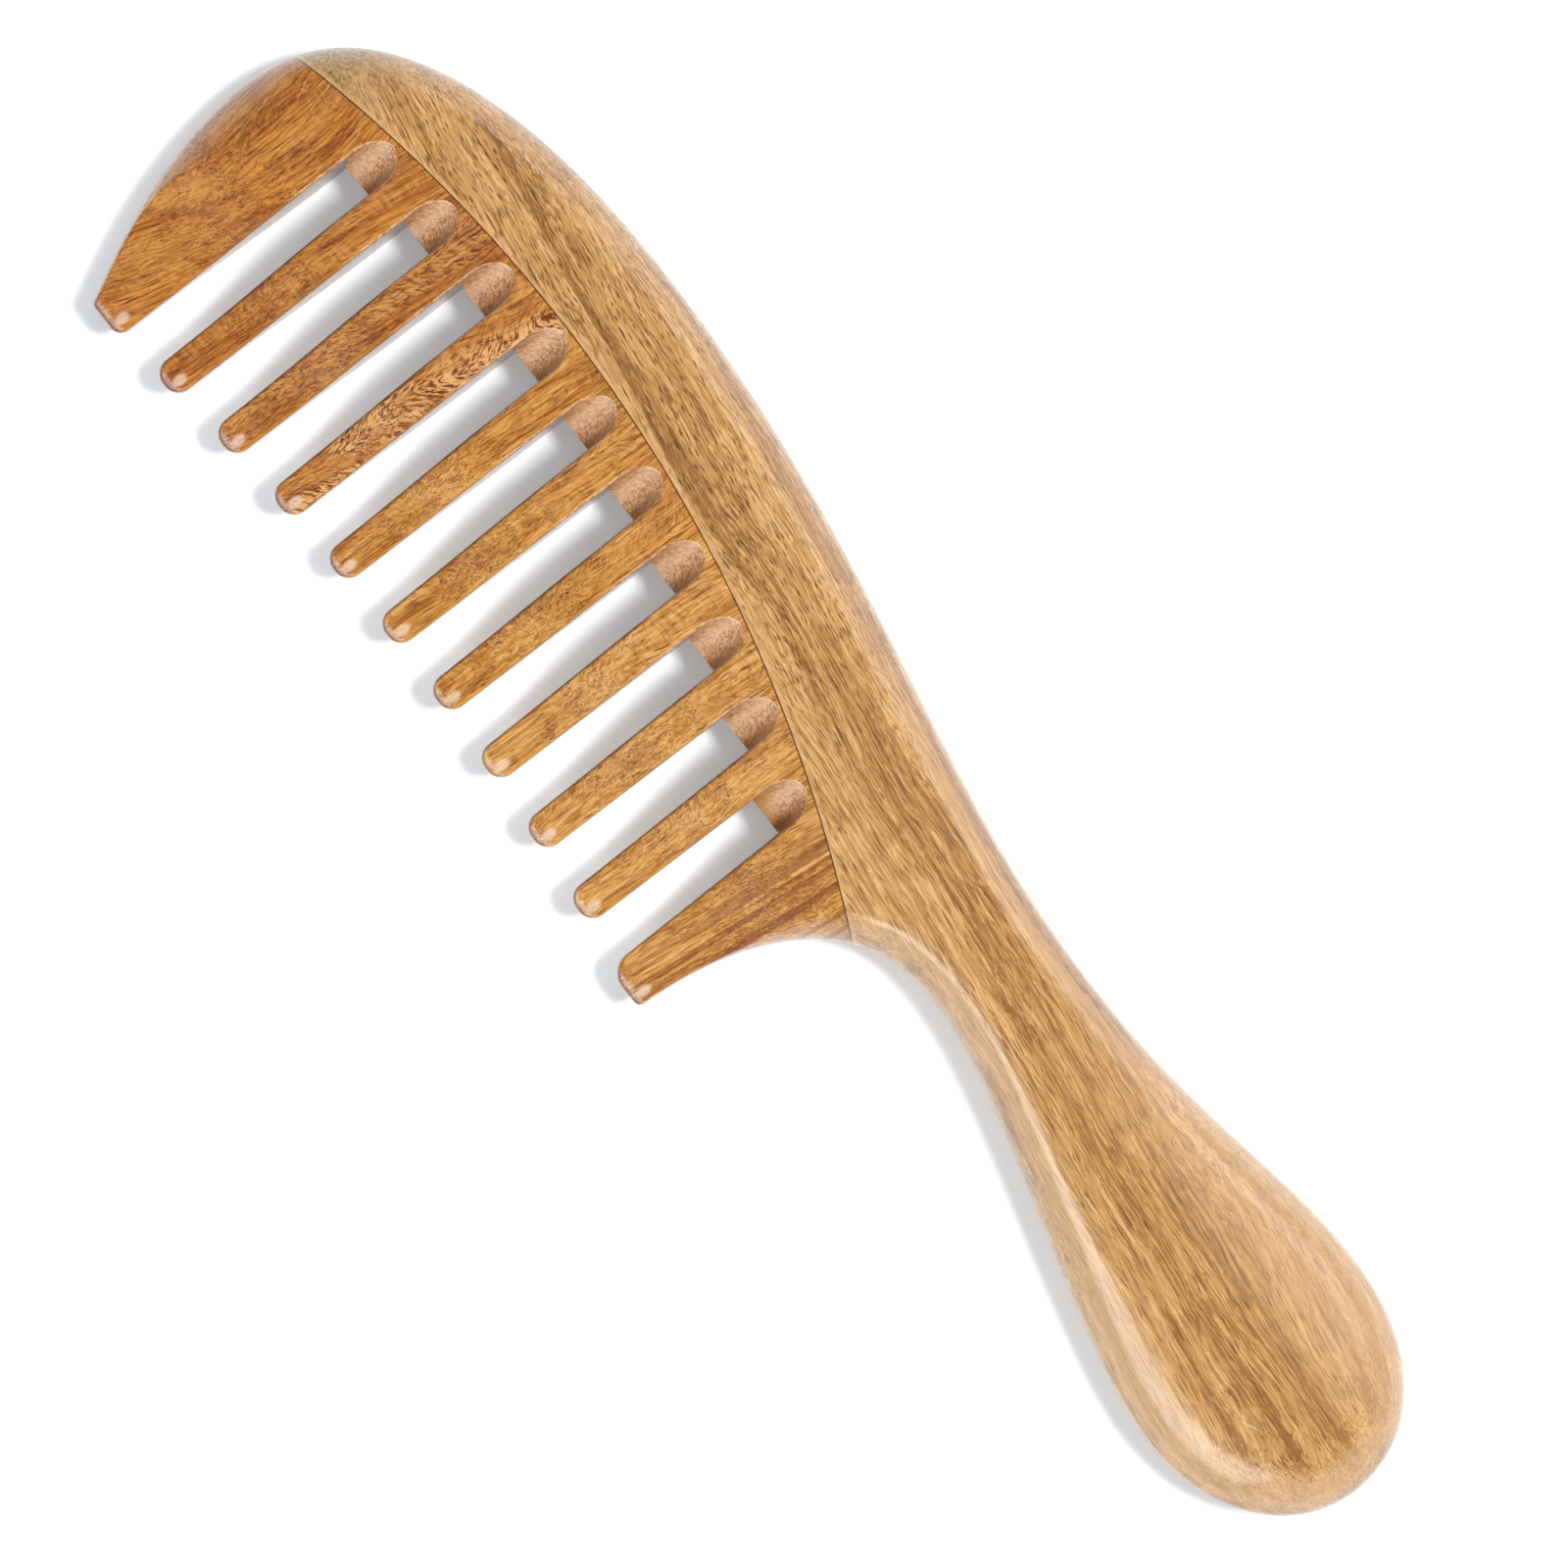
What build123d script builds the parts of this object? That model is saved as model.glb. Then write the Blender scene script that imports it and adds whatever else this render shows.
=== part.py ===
from build123d import *
from math import sqrt
import os

# Wide tooth comb with a handle, in millimetres.  X runs along the comb towards the end of the
# handle, Y from the tooth tips to the back of the spine, and Z through the thickness.  The origin
# is under the middle of the comb, on its lower face.

# ---- outer shape ----
THICKNESS = 12.0
HALF = THICKNESS / 2

# The comb's outer edge, from below the heel tooth, round the handle and over the back to below the
# front tooth.  Each entry is x, y, the width of the rounded shoulder there, and how softly the
# shoulder runs out into the flat face.
FIRM = 1.6
SOFT = 2.5
PERIMETER = [
    (8.1, -32.0, 3.0, FIRM),
    (8.4, -24.5, 3.2, FIRM),
    (9.3, -17.8, 3.4, FIRM),
    (11.5, -11.0, 3.8, FIRM),
    (15.4, -5.0, 4.2, FIRM),
    (20.4, -1.4, 4.4, FIRM),
    (28.0, 0.0, 4.3, FIRM),
    (42.0, -2.1, 4.7, FIRM),
    (58.4, -6.7, 6.1, FIRM),
    (71.5, -10.1, 8.0, FIRM),
    (82.5, -11.4, 8.7, FIRM),
    (92.0, -9.0, 9.6, FIRM),
    (98.5, -2.7, 10.0, SOFT),
    (100.0, 4.2, 10.0, SOFT),
    (97.5, 11.5, 10.0, SOFT),
    (90.3, 17.2, 9.5, SOFT),
    (79.0, 19.25, 8.5, SOFT),
    (65.0, 17.8, 7.0, SOFT),
    (52.0, 15.8, 5.8, SOFT),
    (38.0, 15.0, 5.2, SOFT),
    (22.3, 15.9, 5.2, SOFT),
    (-4.0, 20.5, 5.4, SOFT),
    (-30.2, 24.85, 5.4, SOFT),
    (-53.0, 26.4, 5.2, SOFT),
    (-73.5, 24.9, 5.0, SOFT),
    (-88.0, 20.3, 5.0, SOFT),
    (-96.0, 14.2, 5.2, SOFT),
    (-99.35, 7.7, 5.3, SOFT),
    (-100.0, 2.0, 6.0, FIRM),
    (-99.3, -4.5, 7.0, FIRM),
    (-97.0, -13.3, 7.0, FIRM),
    (-93.2, -22.0, 6.5, FIRM),
    (-88.0, -32.0, 6.0, FIRM),
]
# Shares of the half thickness at which the shoulder's section is set out, from the edge to the face.
SHOULDER_RISES = [0.0, 0.266, 0.51, 0.738, 0.916, 1.0]
SHOULDER_EDGE_POWER = 0.56

# ---- glue seam between spine and teeth, an arc, with a tongue and groove along it ----
SEAM_X = -57.0
SEAM_Y = -156.1
SEAM_RADIUS = 170.0
TONGUE_HEIGHT = 4.0
TONGUE_THICKNESS = 4.0

# ---- gaps between the teeth ----
GAP_COUNT = 10
GAP_PITCH = 9.318
FIRST_GAP_X = -83.68
GAP_ROOT_WIDTH = 4.7
GAP_DRAFT = 0.0085
ROOT_BELOW_SEAM = 6.1
TROUGH_BELOW_SEAM = 0.6
ROOT_LAND = 1.0
TROUGH_RUN_IN = 6.0
TROUGH_RUN_OUT = 3.0
TROUGH_HEADROOM = 10.0
BELOW_ALL = -40.0

# ---- teeth ----
TOOTH_COUNT = GAP_COUNT + 1
TIP_ARC_X = -40.4
TIP_ARC_Y = -331.5
TIP_ARC_RADIUS = 308.6
TIP_CORNER = 1.85
FRONT_TIP_Y = -26.1
FRONT_TIP_CORNERS = (0.9, 1.4)
HEEL_TIP_Y = -26.4
HEEL_TIP_CORNERS = (2.6, 0.9)
EDGE_ROUND = 0.55
NOSE_SIDE_X = -90.0
WORN_FACE_TILT = 0.85
UPRIGHT = 0.9
GAP_EDGE_REACH = 0.6
STAVE_LEFT = -110.0
STAVE_RIGHT = 30.0
STAVE_LENGTH = 100.0

# ---- thinning of the teeth towards their tips ----
TAPER_TOP_Y = 2.0
TAPER_END_Y = -20.5
TAPER_END_X = 28.0
TAPER_REACH = 0.42
TAPER_DIP = 0.25
CLEAR = 0.02
TIP_HALF_THICKNESS = 1.6
NOSE_LENGTH = 2.2
NOSE_HALF_THICKNESS = 0.8


def shoulder_share(rise, softness):
    """Share of the shoulder's width at which it has risen by a share of the half thickness."""
    return 1 - (1 - rise ** (1 / SHOULDER_EDGE_POWER)) ** (1 / softness)


def perimeter_ring(outline, rise, height):
    """Closed wire of the comb's outline at a height, pulled in as far as the shoulder's rise asks."""
    ring = []
    for x, y, width, softness in PERIMETER:
        along = outline.tangent_at(outline.param_at_point((x, y, 0)))
        inward = Vector(-along.Y, along.X, 0)
        ring.append(Vector(x, y, height) + inward * (width * shoulder_share(rise, softness)))
    return Wire([Spline(ring), Line(ring[-1], ring[0])])


def comb_blank():
    """The whole comb as one board with rounded shoulders, before the teeth are cut."""
    outline = Spline([(x, y, 0) for x, y, width, softness in PERIMETER])
    rings = []
    for rise in reversed(SHOULDER_RISES):
        rings.append(perimeter_ring(outline, rise, HALF - HALF * rise))
    for rise in SHOULDER_RISES[1:]:
        rings.append(perimeter_ring(outline, rise, HALF + HALF * rise))
    return Solid.make_loft(rings)


def both_faces(cutter):
    """A cutter and its mirror image below the comb's middle plane."""
    return cutter + mirror(cutter, about=Plane.XY.offset(HALF))


def wear_cutter(tip, first_x, last_x):
    """Wood ground away above the teeth, as a bar along X: an S down to the thin tip, then a nose."""
    start = (TAPER_TOP_Y, HALF + CLEAR)
    end = (TAPER_END_Y, TIP_HALF_THICKNESS)
    reach = TAPER_REACH * (TAPER_TOP_Y - TAPER_END_Y)
    curve = Bezier(start, (start[0] - reach, start[1] - TAPER_DIP), (end[0] + reach, end[1]), end)
    nose_start = (tip + NOSE_LENGTH, TIP_HALF_THICKNESS)
    thin = Line(end, nose_start)
    nose = TangentArc(nose_start, (tip, NOSE_HALF_THICKNESS), tangent=(-1, 0))
    above = THICKNESS
    low_corner = (BELOW_ALL, NOSE_HALF_THICKNESS)
    rest = Polyline(nose @ 1, low_corner, (BELOW_ALL, above), (start[0] + 1, above), start)
    bar = extrude(make_face([curve, thin, nose, rest]), amount=last_x - first_x)
    return Pos(0, 0, HALF) * (Plane.YZ.offset(first_x) * bar)


def seam_disc(radius, low, high):
    """Upright disc about the seam's centre, between two heights."""
    disc = Cylinder(radius, high - low, align=(Align.CENTER, Align.CENTER, Align.MIN))
    return Pos(SEAM_X, SEAM_Y, low) * disc


def tongue_ring():
    """The tongue and groove's ring, just above the seam at mid thickness."""
    low = HALF - TONGUE_THICKNESS / 2
    high = HALF + TONGUE_THICKNESS / 2
    outer = seam_disc(SEAM_RADIUS + TONGUE_HEIGHT, low, high)
    return outer - seam_disc(SEAM_RADIUS, low - 1, high + 1)


def seam_y(x):
    """Y of the glue seam at x."""
    return SEAM_Y + sqrt(SEAM_RADIUS ** 2 - (x - SEAM_X) ** 2)


def tip_y(x):
    """Y of the line of slim tooth tips at x."""
    return TIP_ARC_Y + sqrt(TIP_ARC_RADIUS ** 2 - (x - TIP_ARC_X) ** 2)


def gap_x(number):
    """Middle of a gap, numbered from 1 beside the front tooth."""
    return FIRST_GAP_X + (number - 1) * GAP_PITCH


def gap_slot(number):
    """Straight slot of one gap, right through the comb, with a square root."""
    x = gap_x(number)
    root = seam_y(x) - ROOT_BELOW_SEAM
    top = GAP_ROOT_WIDTH / 2
    bottom = top + (root - BELOW_ALL) * GAP_DRAFT
    corners = [(x - top, root), (x + top, root), (x + bottom, BELOW_ALL), (x - bottom, BELOW_ALL)]
    outline = make_face(Polyline(*corners, close=True))
    return Pos(0, 0, -1) * extrude(outline, amount=THICKNESS + 2)


def gap_trough(number):
    """Slanted round-bottomed cut from the upper face down to the slot's root."""
    x = gap_x(number)
    rim = seam_y(x) - TROUGH_BELOW_SEAM
    root = seam_y(x) - ROOT_BELOW_SEAM
    down = Vector(0, root - rim, ROOT_LAND / 2 - HALF)
    direction = down.normalized()
    radius = GAP_ROOT_WIDTH / 2
    open_top = Pos(0, radius + TROUGH_HEADROOM / 2) * Rectangle(2 * radius, TROUGH_HEADROOM)
    section = Pos(0, radius) * Circle(radius) + open_top
    start = Vector(x, rim, THICKNESS) - direction * TROUGH_RUN_IN
    floor = Plane(origin=start, x_dir=(1, 0, 0), z_dir=direction)
    return floor * extrude(section, amount=TROUGH_RUN_IN + down.length + TROUGH_RUN_OUT)


def tip_corners(stave, tip):
    """The two upright corners at a tooth's tip, left one first."""
    at_tip = [edge for edge in stave.edges() if (edge @ 0.5).Y < tip + CLEAR]
    upright = [edge for edge in at_tip if abs((edge % 0.5).Z) > UPRIGHT]
    return sorted(upright, key=lambda edge: (edge @ 0.5).X)


def worn_edges(stave, gaps, tip):
    """Edges of a stave's worn faces along its gaps, round its tip and down the nose of the comb."""
    chosen = []
    for face in stave.faces():
        if abs(face.normal_at().Z) < WORN_FACE_TILT:
            continue
        for edge in face.edges():
            middle = edge @ 0.5
            reaches = [abs(middle.X - gap_x(number)) for number in gaps]
            along_gap = any(CLEAR < reach < GAP_ROOT_WIDTH / 2 + GAP_EDGE_REACH for reach in reaches)
            round_tip = middle.Y < tip + NOSE_LENGTH - EDGE_ROUND / 2
            down_nose = middle.X < NOSE_SIDE_X and middle.Y < 0 and abs((edge % 0.5).Y) > 0.3
            if along_gap or round_tip or down_nose:
                chosen.append(edge)
    return chosen


def tooth_stave(blank, number):
    """Tooth 1 to 11, with its share of the root and its tongue."""
    gaps = [gap for gap in (number - 1, number) if 1 <= gap <= GAP_COUNT]
    left = gap_x(number - 1) if number > 1 else STAVE_LEFT
    right = gap_x(number) if number <= GAP_COUNT else STAVE_RIGHT
    tip = tip_y((left + right) / 2)
    corners = (TIP_CORNER, TIP_CORNER)
    if number == 1:
        tip = FRONT_TIP_Y
        corners = FRONT_TIP_CORNERS
    if number == TOOTH_COUNT:
        tip = HEEL_TIP_Y
        corners = HEEL_TIP_CORNERS
    width = right - left
    share = Pos((left + right) / 2, tip + STAVE_LENGTH / 2, HALF) * Box(width, STAVE_LENGTH, 2 * THICKNESS)
    stave = blank & share & seam_disc(SEAM_RADIUS, -1, THICKNESS + 1)
    for gap in gaps:
        stave = stave - gap_slot(gap) - both_faces(gap_trough(gap))
    stave = stave - both_faces(wear_cutter(tip, left - 1, right + 1))
    for side in (0, 1):
        stave = fillet(tip_corners(stave, tip)[side], corners[side])
    stave = fillet(worn_edges(stave, gaps, tip), EDGE_ROUND)
    tongue = blank & share & tongue_ring()
    return stave + tongue


def spine_handle(blank):
    """The back of the comb and its handle, one piece, with the groove for the tongues."""
    body = blank - seam_disc(SEAM_RADIUS, -1, THICKNESS + 1) - tongue_ring()
    return body - both_faces(wear_cutter(FRONT_TIP_Y, STAVE_LEFT, TAPER_END_X))


blank = comb_blank()
pieces = {"spine_handle": spine_handle(blank)}
for number in range(1, TOOTH_COUNT + 1):
    name = f"tooth_{number:02d}"
    if number == 1:
        name = "guard_tooth_front"
    if number == TOOTH_COUNT:
        name = "guard_tooth_heel"
    pieces[name] = tooth_stave(blank, number)

os.makedirs("parts", exist_ok=True)
for name, piece in pieces.items():
    export_step(piece, f"parts/{name}.step")
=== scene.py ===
import bpy
import math
from mathutils import Matrix, Vector


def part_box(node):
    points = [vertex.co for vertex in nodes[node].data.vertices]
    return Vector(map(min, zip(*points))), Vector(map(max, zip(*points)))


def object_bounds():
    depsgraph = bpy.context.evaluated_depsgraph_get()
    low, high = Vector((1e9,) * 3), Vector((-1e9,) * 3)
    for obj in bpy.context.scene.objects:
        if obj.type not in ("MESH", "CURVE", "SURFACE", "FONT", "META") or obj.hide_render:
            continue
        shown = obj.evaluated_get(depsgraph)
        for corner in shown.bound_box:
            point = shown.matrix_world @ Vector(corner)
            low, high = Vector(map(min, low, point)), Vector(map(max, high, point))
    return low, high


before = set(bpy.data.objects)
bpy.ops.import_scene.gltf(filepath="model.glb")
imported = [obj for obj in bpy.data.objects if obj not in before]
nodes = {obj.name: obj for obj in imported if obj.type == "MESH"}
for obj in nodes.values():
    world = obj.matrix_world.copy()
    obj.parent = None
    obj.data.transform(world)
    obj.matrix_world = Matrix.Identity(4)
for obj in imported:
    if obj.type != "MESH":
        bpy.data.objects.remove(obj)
cad_low, cad_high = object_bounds()
scene = bpy.context.scene
scene.view_settings.view_transform = "Standard"
scene.view_settings.look = "None"

MM = 0.001

# The comb's own lines, in millimetres.
SEAM_X, SEAM_Y, SEAM_RADIUS = -57.0, -156.1, 170.0   # the glue seam's arc
FIRST_GAP_X, GAP_PITCH = -83.68, 9.318               # middle of the first gap, and their spacing
GAPS_FROM, GAPS_TO = -86.3, 2.8                      # from the first gap's wall to the last's


# ---------------------------------------------------------------- node helpers
class Nodes:
    """A material's node tree, with short calls for the nodes used here."""

    def __init__(self, name):
        self.material = bpy.data.materials.new(name)
        self.material.use_nodes = True
        self.tree = self.material.node_tree
        self.tree.nodes.clear()

    def add(self, kind, **settings):
        node = self.tree.nodes.new(kind)
        for key, value in settings.items():
            setattr(node, key, value)
        return node

    def put(self, socket, value):
        """Link an output to a socket, or set the socket's own value."""
        if isinstance(value, bpy.types.NodeSocket):
            self.tree.links.new(value, socket)
        else:
            socket.default_value = value

    def math(self, operation, *values):
        node = self.add("ShaderNodeMath", operation=operation)
        for socket, value in zip(node.inputs, values):
            self.put(socket, value)
        return node.outputs[0]

    def plus(self, a, b):
        return self.math("ADD", a, b)

    def minus(self, a, b):
        return self.math("SUBTRACT", a, b)

    def over(self, a, b):
        return self.math("DIVIDE", a, b)

    def size(self, a):
        return self.math("ABSOLUTE", a)

    def times(self, first, *others):
        """Product of two or more values."""
        product = first
        for value in others:
            product = self.math("MULTIPLY", product, value)
        return product

    def scaled_plus(self, a, scale, b):
        return self.math("MULTIPLY_ADD", a, scale, b)

    def weighted(self, a, weight_a, b, weight_b):
        """Sum of two values, each with its weight."""
        return self.scaled_plus(a, weight_a, self.times(b, weight_b))

    def vector(self, operation, a, b=(0, 0, 0)):
        node = self.add("ShaderNodeVectorMath", operation=operation)
        self.put(node.inputs[0], a)
        self.put(node.inputs["Scale" if operation == "SCALE" else 1], b)
        return node.outputs["Value" if operation in ("DOT_PRODUCT", "LENGTH") else "Vector"]

    def combine(self, x, y, z):
        node = self.add("ShaderNodeCombineXYZ")
        for socket, value in zip(node.inputs, (x, y, z)):
            self.put(socket, value)
        return node.outputs[0]

    def split(self, vector):
        node = self.add("ShaderNodeSeparateXYZ")
        self.put(node.inputs[0], vector)
        return node.outputs

    def noise_node(self, place, scale, detail, rough, distortion=0.0):
        node = self.add("ShaderNodeTexNoise")
        self.put(node.inputs["Vector"], self.vector("MULTIPLY", place, scale))
        node.inputs["Scale"].default_value = 1.0
        node.inputs["Detail"].default_value = detail
        node.inputs["Roughness"].default_value = rough
        node.inputs["Distortion"].default_value = distortion
        return node

    def noise(self, place, scale, detail, rough, distortion=0.0):
        """Noise from 0 to 1, finer along the axes with the larger scale."""
        return self.noise_node(place, scale, detail, rough, distortion).outputs["Fac"]

    def drift(self, place, scale):
        """Slowly changing vector about zero."""
        colour = self.noise_node(place, scale, 1.0, 0.5).outputs["Color"]
        return self.vector("SUBTRACT", colour, (0.5, 0.5, 0.5))

    def spots(self, place, scale, channel, low, high, edge):
        """Soft spots in a random choice of cells; lower limits low and high choose more of them."""
        node = self.add("ShaderNodeTexVoronoi")
        self.put(node.inputs["Vector"], self.vector("MULTIPLY", place, scale))
        node.inputs["Scale"].default_value = 1.0
        node.inputs["Randomness"].default_value = 1.0
        picked = self.ramp(self.split(node.outputs["Color"])[channel], low, high)
        return self.times(self.ramp(node.outputs["Distance"], edge, 0.14), picked)

    def ramp(self, value, low, high, out_low=0.0, out_high=1.0):
        """Smooth step from out_low at low to out_high at high; low may be the larger."""
        node = self.add("ShaderNodeMapRange", interpolation_type="SMOOTHSTEP")
        self.put(node.inputs["Value"], value)
        ends = {"From Min": low, "From Max": high, "To Min": out_low, "To Max": out_high}
        for name, number in ends.items():
            self.put(node.inputs[name], number)
        return node.outputs["Result"]

    def mix(self, factor, a, b):
        """Colour mix; its colour sockets share their names with others, so they go by number."""
        node = self.add("ShaderNodeMix", data_type="RGBA")
        self.put(node.inputs["Factor"], factor)
        self.put(node.inputs[6], a)
        self.put(node.inputs[7], b)
        return node.outputs[2]


def srgb(r, g, b):
    """A colour given as 0-255 sRGB, as linear RGBA."""
    def one(v):
        v /= 255
        return v / 12.92 if v <= 0.04045 else ((v + 0.055) / 1.055) ** 2.4
    return (one(r), one(g), one(b), 1.0)


# ---------------------------------------------------------------- wood
FIGURE_GROUND = srgb(104, 44, 14)
FIGURE_WORMS = srgb(206, 156, 96)
NOSE_DARK = srgb(104, 76, 42)
NOSE_PALE = srgb(172, 142, 96)
# Painted highlight: the small pale glint on a tooth's tip.
TIP_GLINT = srgb(240, 214, 190)
# Painted sheen on the rounded shoulders.
SHOULDER_SHEEN = srgb(204, 169, 132)
SAWN_DARK = srgb(160, 104, 66)
SAWN_PALE = srgb(234, 188, 144)
# Painted shade on the right of each gap floor, then a painted highlight on its left.
SAWN_SHADE = srgb(120, 70, 40)
SAWN_SHINE = srgb(242, 208, 172)
# Painted shade on the steep gap walls.
WALL_SHADE = srgb(126, 108, 88)
GLUE_LINE = srgb(58, 26, 8)

# Marks along the fibres: how many to the millimetre along and across them, an offset that keeps the
# kinds apart, and the two limits that set how many cells hold one.
FINE_PORES = (0.22, 6.5, 0.0, 0.25, 0.8)
COARSE_PORES = (0.13, 4.4, 31.0, 0.65, 0.95)
HEAD_DASHES = (0.62, 4.4, 57.0, 0.05, 0.5)


class Wood:
    """One piece's wood, in millimetres: its fibre coordinates, and the colour laid over them."""

    def __init__(self, name, grain, seed, look, curl=0.0):
        """Fibres run at the angle grain to +X; curl bends them into an arc."""
        n = Nodes(name)
        self.n = n
        self.look = look
        self.seed = seed
        place = n.vector("SCALE", n.add("ShaderNodeTexCoord").outputs["Object"], 1 / MM)
        self.x, self.y, self.z = n.split(place)
        angle = math.radians(grain)
        self.direction = (math.cos(angle), math.sin(angle), 0.0)
        self.along = n.weighted(self.x, math.cos(angle), self.y, math.sin(angle))
        self.across = n.weighted(self.x, -math.sin(angle), self.y, math.cos(angle))
        if curl:
            offset = n.plus(self.along, 8.0)
            self.across = n.scaled_plus(n.times(offset, offset), curl, self.across)
        self.raw = n.combine(n.plus(self.along, seed * 371.0), n.plus(self.across, seed * 53.0),
                             n.plus(self.z, seed * 17.0))
        self.bend(look["wave"])
        self.normal = n.add("ShaderNodeNewGeometry").outputs["Normal"]
        self.slant = n.split(self.normal)[0]
        self.flat = n.size(n.split(self.normal)[2])
        seam_centre = (SEAM_X, SEAM_Y, 0.0)
        from_centre = n.vector("SUBTRACT", n.combine(self.x, self.y, 0.0), seam_centre)
        self.past_seam = n.minus(n.vector("LENGTH", from_centre), SEAM_RADIUS)

    def bend(self, wave):
        """Slow and quick waviness of the fibres."""
        n = self.n
        slow, quick = wave * 5, wave * 0.7
        self.sway = n.drift(self.raw, (0.035, 0.11, 0.11))
        bent = n.vector("ADD", self.raw, n.vector("MULTIPLY", self.sway, (0.0, slow, slow)))
        shiver = n.drift(bent, (0.25, 0.9, 0.9))
        self.bent = n.vector("ADD", bent, n.vector("MULTIPLY", shiver, (0.0, quick, quick)))

    def lay(self, strength, colour):
        """Put a colour over what is there already."""
        self.colour = self.n.mix(strength, self.colour, colour)

    def fibres(self):
        """Broad bands, streaks and single fibres, from dark to light."""
        n, look = self.n, self.look
        long, fine, (dash_long, dash_fine) = look["long"], look["fine"], look["dash"]
        band = n.noise(self.bent, (long * 0.5, fine * 0.22, fine * 0.22), 2.0, 0.5)
        streaks = n.noise(self.bent, (long, fine, fine), 5.0, 0.75)
        self.fibre = n.noise(self.bent, (dash_long, dash_fine, dash_fine), 3.0, 0.7)
        tone = n.scaled_plus(self.fibre, 0.38, n.weighted(band, 0.22, streaks, 0.40))
        spread = 0.062 / look["contrast"]
        self.colour = n.mix(n.ramp(tone, 0.5 - spread, 0.5), look["dark"], look["mid"])
        self.lay(n.ramp(tone, 0.5, 0.5 + spread), look["light"])

    def ripple(self):
        """Interlocked ripple at a slant across the fibres: grain figure whose changing sheen is painted in as
        darker and lighter bands.
        """
        n, strength = self.n, self.look["ripple"]
        turned = n.combine(n.weighted(self.along, 0.9, self.across, 0.42),
                           n.weighted(self.along, -0.42, self.across, 0.9), self.z)
        waves = n.noise(n.vector("ADD", turned, self.sway), (0.4, 1.6, 0.8), 3.0, 0.6)
        self.lay(n.ramp(waves, 0.50, 0.70, 0.0, strength), self.look["dark"])
        self.lay(n.ramp(waves, 0.50, 0.30, 0.0, strength), self.look["light"])

    def figure(self, strength, lean, centre):
        """Pale worms on a red-brown ground, feathered to both sides of a line down the tooth."""
        n = self.n
        from_line = n.minus(self.x, centre)
        fold = n.size(n.plus(from_line, n.times(n.split(self.sway)[0], 16.0)))
        feather = n.combine(n.weighted(self.y, 0.88, fold, 0.47), n.weighted(self.y, -0.47, fold, 0.88),
                            n.plus(self.z, self.seed * 9.0))
        worms = n.noise(feather, (1.0, 3.4, 2.5), 2.0, 0.6, 0.5)
        patches = n.noise(self.bent, (0.06, 0.42, 0.3), 2.0, 0.5)
        area = n.ramp(n.plus(patches, n.times(from_line, lean)), 0.42, 0.58, 0.22, 1.0)
        self.lay(n.times(area, strength), n.mix(n.ramp(worms, 0.42, 0.55), FIGURE_GROUND, FIGURE_WORMS))

    def rows(self):
        """Straight dark rows along the heel tooth, strongest on the handle's side."""
        n = self.n
        rows = n.noise(self.raw, (0.012, 0.95, 0.02), 2.0, 0.6)
        mask = n.times(n.ramp(rows, 0.50, 0.58), n.ramp(self.x, 3.5, 7.0, 0.25, 1.0))
        self.lay(n.times(mask, self.look["stripes"]), self.look["deep"])

    def marks(self, along, across, offset, low, high):
        moved = self.n.vector("ADD", self.bent, (offset, offset, offset))
        return self.n.spots(moved, (along, across, across), 0, low, high, 0.46)

    def pores(self):
        """Dark dashes and pores of several sizes, and paler flecks."""
        n, look = self.n, self.look
        dash_long, dash_fine = look["dash"]
        dashes = self.marks(dash_long * 1.3, dash_fine * 1.4, 71.0, 0.2, 0.7)
        self.lay(n.times(dashes, look["dashes"]), look["dark"])
        if look["head_dash"]:
            head = n.ramp(self.x, 30.0, -20.0)
            self.lay(n.times(self.marks(*HEAD_DASHES), head, look["head_dash"]), look["deep"])
        self.pore = n.math("MAXIMUM", self.marks(*FINE_PORES), self.marks(*COARSE_PORES))
        self.lay(n.times(self.pore, look["pores"]), look["deep"])
        moved = n.vector("ADD", self.bent, (13.0, 7.0, 3.0))
        flecks = n.spots(moved, (0.5, 4.2, 4.2), 1, 0.4, 0.8, 0.42)
        self.lay(n.times(flecks, look["flecks"]), look["light"])

    def end_grain(self):
        """Darker where the surface cuts across the fibres."""
        n = self.n
        facing = n.size(n.vector("DOT_PRODUCT", self.normal, self.direction))
        self.lay(n.times(n.ramp(facing, 0.35, 0.95), 0.35), self.look["dark"])

    def grey_nose(self):
        """Greyish dotted wood at the spine's front end."""
        n = self.n
        nose = n.ramp(n.scaled_plus(self.y, 0.35, self.x), -80.0, -93.0)
        dots = n.noise(self.raw, (1.6, 2.6, 2.6), 3.0, 0.7)
        self.lay(n.times(nose, 0.8), n.mix(n.ramp(dots, 0.38, 0.60), NOSE_DARK, NOSE_PALE))

    def painted_shoulder_sheen(self):
        """Painted sheen on the rounded shoulders, paler than the flat and most on the handle, and a pale band
        over the bulb's upper side that is partly paler sapwood and partly painted sheen.
        """
        n = self.n
        # Painted sheen where the rounded shoulders tilt away from the flat, most on the handle.
        sheen_mask = n.times(n.ramp(self.flat, 0.995, 0.86), n.ramp(self.flat, 0.45, 0.75))
        sheen_mask = n.times(sheen_mask, n.ramp(self.x, -30.0, 40.0, 0.4, 1.0))
        # A pale band over the bulb's upper side: partly paler sapwood, partly painted sheen.
        sapwood_and_sheen = n.times(n.ramp(self.y, 4.0, 14.0), n.ramp(self.x, 30.0, 65.0))
        self.lay(n.times(n.math("MAXIMUM", sheen_mask, sapwood_and_sheen), self.look["sheen_weight"]), SHOULDER_SHEEN)

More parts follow.
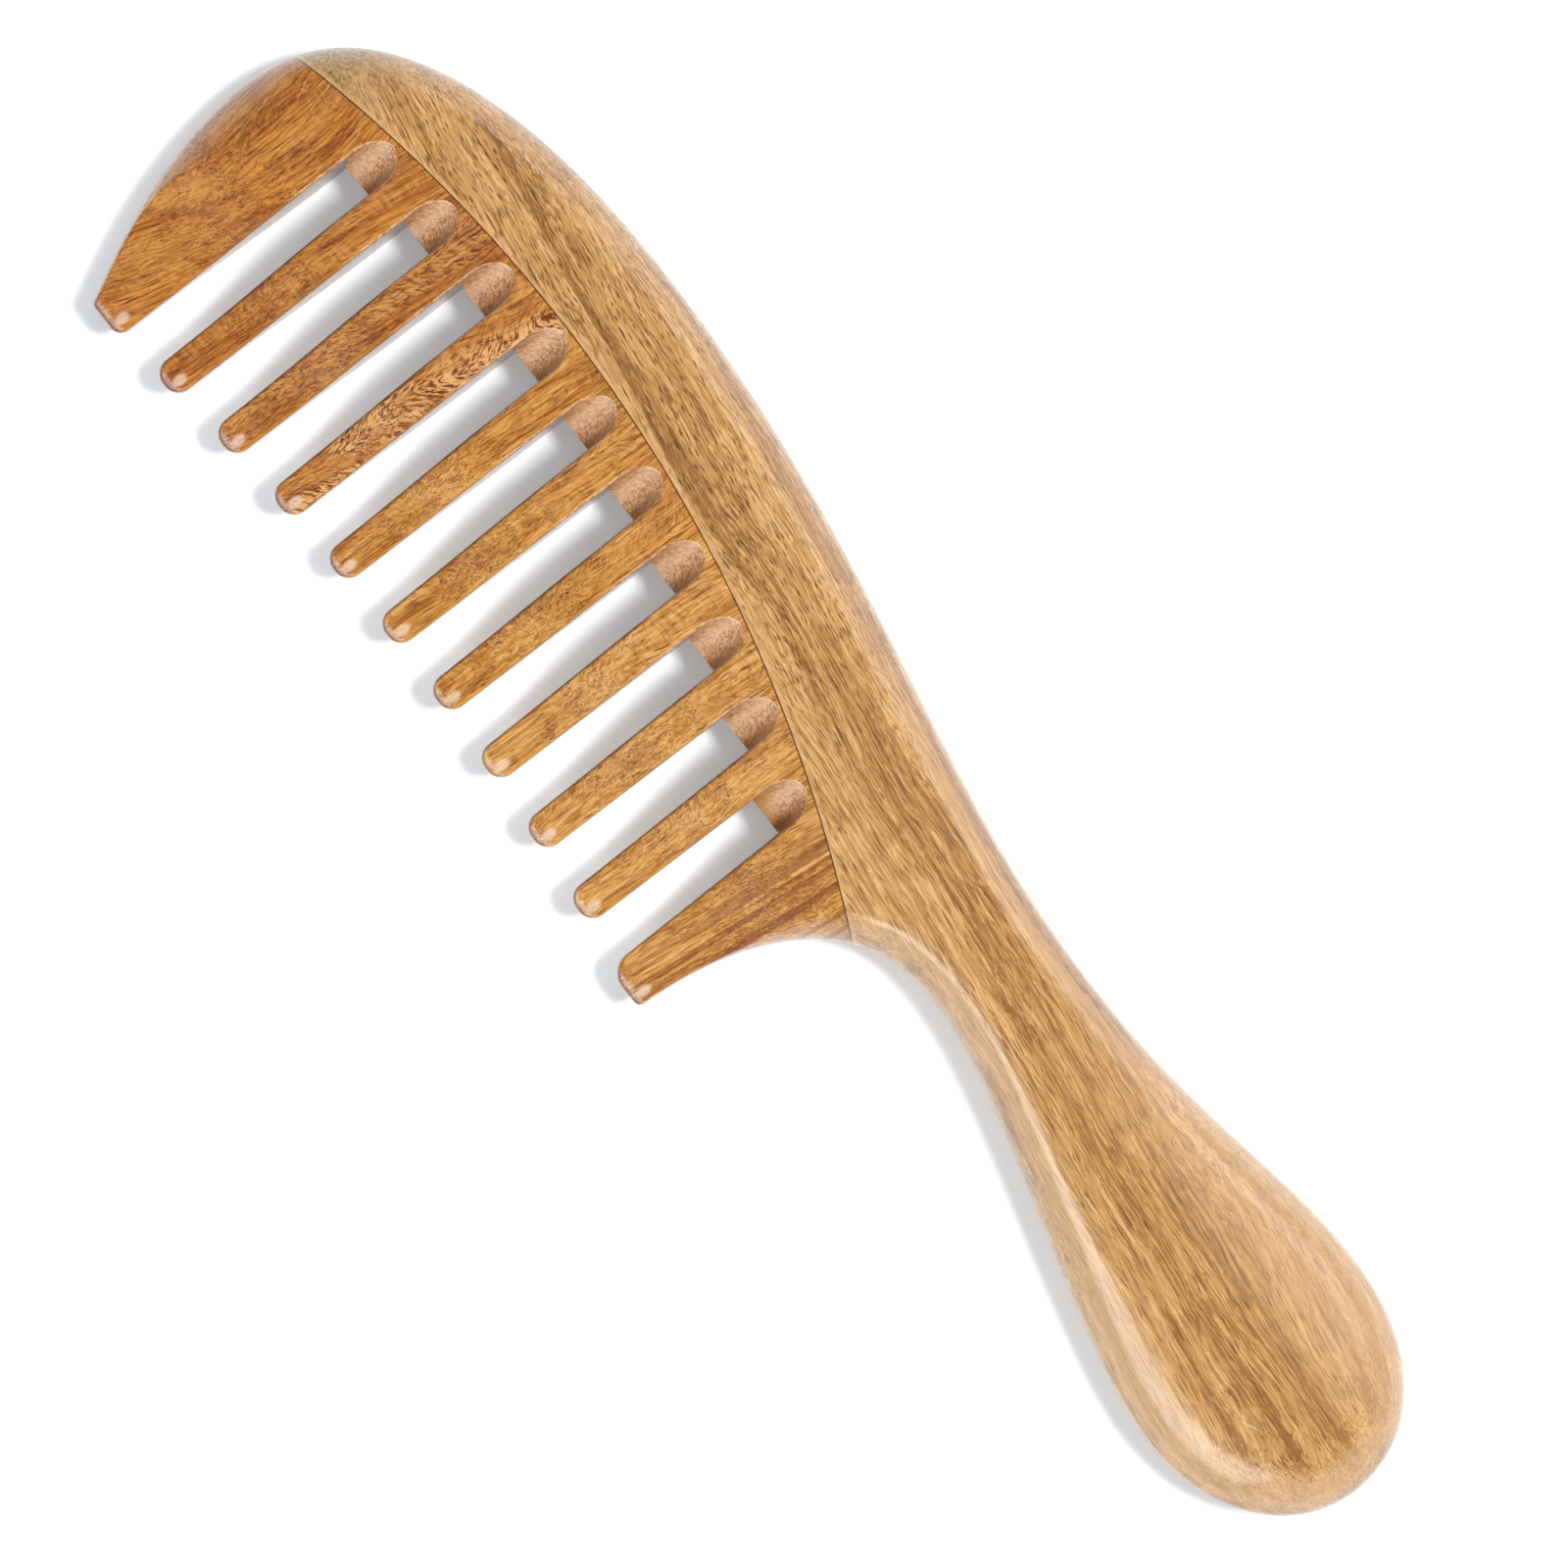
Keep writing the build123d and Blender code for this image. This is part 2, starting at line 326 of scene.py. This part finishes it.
    def tip(self, glint_x, tip_y):
        """A tooth's dark very end, with a small painted glint above it."""
        n = self.n
        above_tip = n.minus(self.y, tip_y)
        self.lay(n.ramp(above_tip, 1.0, 0.1, 0.0, 0.5), self.look["deep"])
        sideways = n.over(n.minus(self.x, glint_x), 0.7)
        upwards = n.over(n.minus(above_tip, 1.7), 1.1)
        # Painted highlight: a small pale glint on the tip's rounded nose.
        glint = n.ramp(n.vector("LENGTH", n.combine(sideways, upwards, 0.0)), 1.1, 0.5)
        self.lay(n.times(glint, 0.45), TIP_GLINT)

    def gap_faces(self):
        """Sawn gap floors, partly painted light, painted shade on the gap walls, and painted shade on the
        left and a painted highlight on the right edge of each tooth.
        """
        n = self.n
        inside = n.times(n.ramp(self.x, GAPS_FROM - 0.3, GAPS_FROM),
                         n.ramp(self.x, GAPS_TO + 0.3, GAPS_TO), n.ramp(self.past_seam, 0.0, -0.2))
        floor = n.times(inside, n.times(n.ramp(self.flat, 0.93, 0.80), n.ramp(self.y, -3.0, 0.5)))
        # Gap floors of paler sawn wood, their paleness partly painted light, with painted highlight and shade
        # across each gap.
        self.lay(n.times(floor, 0.8), self.sawn_tone_and_painted_light())
        steep = n.times(inside, n.ramp(self.flat, 0.35, 0.15))
        # Painted shade: the steep walls inside the gaps greyed.
        wall_shade = n.times(steep, n.ramp(n.size(self.slant), 0.80, 0.97))
        self.lay(n.times(wall_shade, 0.6), WALL_SHADE)
        # Painted shade on each tooth's left edge and a painted highlight on its right edge, by the way the
        # edge faces.
        rim = n.times(inside, n.times(n.ramp(self.flat, 0.97, 0.80), n.ramp(self.y, 2.0, -1.0)))
        self.lay(n.times(rim, n.ramp(self.slant, -0.25, -0.65, 0.0, 0.55)), self.look["deep"])
        self.lay(n.times(rim, n.ramp(self.slant, 0.25, 0.60, 0.0, 0.35)), self.look["light"])

    def sawn_tone_and_painted_light(self):
        """Paler and pinker unpolished wood, its paleness partly painted light, with a painted highlight on
        each gap's left and painted shade on its right side.
        """
        n = self.n
        # Whole turns keep the sum above zero, and the half puts each gap's middle at half a turn.
        shift = GAP_PITCH * 20.5 - FIRST_GAP_X
        turn = n.math("FRACT", n.over(n.plus(self.x, shift), GAP_PITCH))
        from_middle = n.times(n.minus(turn, 0.5), GAP_PITCH)
        tone = n.noise(self.raw, (1.4, 2.2, 3.0), 3.0, 0.75)
        colour = n.mix(n.ramp(tone, 0.36, 0.64), SAWN_DARK, SAWN_PALE)
        # Painted shade towards each gap's right side, then a painted highlight on its left.
        colour = n.mix(n.ramp(from_middle, 0.6, 2.2, 0.0, 0.55), colour, SAWN_SHADE)
        shine = n.times(n.ramp(from_middle, -2.0, -1.1), n.ramp(from_middle, 0.1, -0.8))
        return n.mix(n.times(shine, 0.45), colour, SAWN_SHINE)

    def seam(self):
        """The glue line under the spine: a dark hairline, with a paler strip above it."""
        n = self.n
        strip = n.times(n.ramp(self.past_seam, 0.0, 0.12), n.ramp(self.past_seam, 0.75, 0.25))
        self.lay(n.times(strip, 0.45), self.look["light"])
        self.lay(n.ramp(n.size(self.past_seam), 0.13, 0.04, 0.0, 0.85), GLUE_LINE)

    def surface(self):
        """Open pores and raised fibres under a thin coat; returns the finished material."""
        n = self.n
        bump = n.add("ShaderNodeBump")
        bump.inputs["Strength"].default_value = 0.3
        bump.inputs["Distance"].default_value = 0.03 * MM
        n.put(bump.inputs["Height"], n.weighted(self.pore, -1.0, self.fibre, 0.5))
        rough = n.scaled_plus(self.pore, 0.15, n.scaled_plus(self.fibre, 0.14, 0.22))
        shader = n.add("ShaderNodeBsdfPrincipled")
        n.put(shader.inputs["Base Color"], self.colour)
        n.put(shader.inputs["Roughness"], rough)
        n.put(shader.inputs["Normal"], bump.outputs["Normal"])
        shader.inputs["Specular IOR Level"].default_value = 0.5
        shader.inputs["Coat Weight"].default_value = 0.5
        shader.inputs["Coat Roughness"].default_value = 0.12
        output = n.add("ShaderNodeOutputMaterial")
        n.put(output.inputs["Surface"], shader.outputs[0])
        return n.material


def paint(node, material):
    mesh = nodes[node].data
    mesh.materials.clear()
    mesh.materials.append(material)


SPINE = dict(deep=srgb(92, 50, 22), dark=srgb(136, 92, 46), mid=srgb(179, 132, 74), light=srgb(205, 163, 110),
             long=0.014, fine=1.5, wave=0.75, contrast=0.85, ripple=0.15, dash=(0.11, 5.2), dashes=0.6,
             pores=0.9, flecks=0.4, head_dash=0.9, sheen_weight=0.42)
TOOTH = dict(deep=srgb(74, 28, 8), dark=srgb(120, 58, 14), mid=srgb(163, 98, 29), light=srgb(190, 129, 56),
             long=0.025, fine=1.6, wave=0.8, contrast=0.9, ripple=0.08, dash=(0.16, 5.0), dashes=0.6,
             pores=0.9, flecks=0.5, head_dash=0.0, stripes=0.0)
GOLD = dict(TOOTH, dark=srgb(134, 74, 20), mid=srgb(176, 117, 42), light=srgb(204, 150, 78))
PALE = dict(TOOTH, dark=srgb(144, 86, 32), mid=srgb(180, 125, 54), light=srgb(208, 158, 92))
STRIPED = dict(PALE, deep=srgb(104, 46, 18), wave=0.5, stripes=0.65)

SPINE_GRAIN = -7.0                                   # fibre angles from +X, in degrees
# Each tooth's node, fibre angle, colours, strength of the figure, and how much the figure gains per
# millimetre to the right (less than zero: to the left).
TEETH = [
    ("guard_tooth_front", -88.0, TOOTH, 0.20, -0.02),
    ("tooth_02", 84.0, TOOTH, 0.22, -0.03),
    ("tooth_03", 86.0, TOOTH, 0.42, -0.10),
    ("tooth_04", 78.0, TOOTH, 1.00, 0.02),
    ("tooth_05", 86.0, GOLD, 0.25, -0.08),
    ("tooth_06", 87.0, GOLD, 0.28, -0.10),
    ("tooth_07", 88.0, GOLD, 0.25, -0.10),
    ("tooth_08", 86.0, PALE, 0.25, 0.0),
    ("tooth_09", 87.0, PALE, 0.32, -0.02),
    ("tooth_10", 86.0, PALE, 0.25, -0.08),
    ("guard_tooth_heel", 84.0, STRIPED, 0.15, 0.02),
]
CURL = {"guard_tooth_front": 0.008}
GLINT_OFFSET = 0.7                                     # of the painted glint from a slim tooth's middle
GLINT_X = {"guard_tooth_front": -87.7, "guard_tooth_heel": 7.1}


def spine_wood():
    wood = Wood("spine_wood_grain", SPINE_GRAIN, 1, SPINE)
    wood.fibres()
    wood.ripple()
    wood.pores()
    wood.end_grain()
    wood.grey_nose()
    wood.painted_shoulder_sheen()
    wood.seam()
    return wood.surface()


def tooth_wood(seed, node, grain, look, figure, lean):
    low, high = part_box(node)
    centre = (low.x + high.x) / 2 / MM
    wood = Wood(node + "_grain", grain, seed, look, CURL.get(node, 0.0))
    wood.fibres()
    wood.ripple()
    wood.figure(figure, lean, centre)
    if look["stripes"]:
        wood.rows()
    wood.pores()
    wood.end_grain()
    wood.tip(GLINT_X.get(node, centre + GLINT_OFFSET), low.y / MM)
    wood.gap_faces()
    wood.seam()
    return wood.surface()


paint("spine_handle", spine_wood())
for seed, tooth in enumerate(TEETH, start=2):
    paint(tooth[0], tooth_wood(seed, *tooth))

# ---------------------------------------------------------------- floor
FLOOR_SIZE = 8.0
FLOOR_GAP = 0.0001


def pale_floor():
    """Matt pale floor with a faint cool glow."""
    n = Nodes("pale_floor")
    shader = n.add("ShaderNodeBsdfPrincipled")
    shader.inputs["Base Color"].default_value = (0.87, 0.90, 0.93, 1)
    shader.inputs["Roughness"].default_value = 0.9
    shader.inputs["Specular IOR Level"].default_value = 0.0
    shader.inputs["Emission Color"].default_value = (0.86, 0.95, 1.0, 1)
    shader.inputs["Emission Strength"].default_value = 0.15
    output = n.add("ShaderNodeOutputMaterial")
    n.put(output.inputs["Surface"], shader.outputs[0])
    return n.material


bpy.ops.mesh.primitive_plane_add(size=FLOOR_SIZE, location=(0, 0, cad_low.z - FLOOR_GAP))
floor = bpy.context.object
floor.name = "floor"
floor.data.materials.append(pale_floor())

# ---------------------------------------------------------------- light
HORIZON_STRENGTH = 0.85
OVERHEAD_STRENGTH = 0.14
FADE_HEIGHT = 0.45                                   # height of the view direction where the fade ends
LIGHT_DISTANCE = 2.0


def studio_world():
    """Cool surroundings, brightest at the horizon."""
    world = bpy.data.worlds.new("studio")
    world.use_nodes = True
    tree = world.node_tree
    background = tree.nodes["Background"]
    background.inputs["Color"].default_value = (0.78, 0.90, 1.0, 1)
    direction = tree.nodes.new("ShaderNodeTexCoord")
    height = tree.nodes.new("ShaderNodeSeparateXYZ")
    fade = tree.nodes.new("ShaderNodeMapRange")
    fade.inputs["From Min"].default_value = 0.0
    fade.inputs["From Max"].default_value = FADE_HEIGHT
    fade.inputs["To Min"].default_value = HORIZON_STRENGTH
    fade.inputs["To Max"].default_value = OVERHEAD_STRENGTH
    tree.links.new(direction.outputs["Generated"], height.inputs[0])
    tree.links.new(height.outputs[2], fade.inputs["Value"])
    tree.links.new(fade.outputs["Result"], background.inputs["Strength"])
    return world


def softbox(name, azimuth, elevation, width, height, power, reflected=True):
    """Area light aimed at the comb; azimuth is measured from +X towards +Y."""
    data = bpy.data.lights.new(name, "AREA")
    data.shape = "RECTANGLE"
    data.size = width
    data.size_y = height
    data.energy = power
    light = bpy.data.objects.new(name, data)
    scene.collection.objects.link(light)
    turn, rise = math.radians(azimuth), math.radians(elevation)
    towards = Vector((math.cos(turn) * math.cos(rise), math.sin(turn) * math.cos(rise), math.sin(rise)))
    light.location = towards * LIGHT_DISTANCE
    light.rotation_mode = "QUATERNION"
    light.rotation_quaternion = towards.to_track_quat("Z", "Y")
    light.visible_glossy = reflected


scene.world = studio_world()
softbox("key_box", 54, 66, 0.4, 0.4, 34, reflected=False)
softbox("back_panel", 95, 38, 2.1, 1.0, 13)
softbox("overhead_box", 90, 88, 1.8, 1.8, 8.5, reflected=False)
softbox("fill_box", -80, 34, 1.6, 0.8, 20)

# ---------------------------------------------------------------- camera
CAMERA_TURN = math.radians(52)                       # lays the comb at a slant across the view
CAMERA_PLACE = (-1.42 * MM, 1.76 * MM, 1.0)
CAMERA_LENS = 204.5

camera_data = bpy.data.cameras.new("camera")
camera = bpy.data.objects.new("camera", camera_data)
scene.collection.objects.link(camera)
scene.camera = camera
camera_data.sensor_width = 36
camera_data.lens = CAMERA_LENS
camera_data.clip_end = 10
right = Vector((math.cos(CAMERA_TURN), math.sin(CAMERA_TURN), 0))
up = Vector((-math.sin(CAMERA_TURN), math.cos(CAMERA_TURN), 0))
back = Vector((0, 0, 1))
facing_down = Matrix((right, up, back)).transposed().to_4x4()
camera.matrix_world = Matrix.Translation(CAMERA_PLACE) @ facing_down
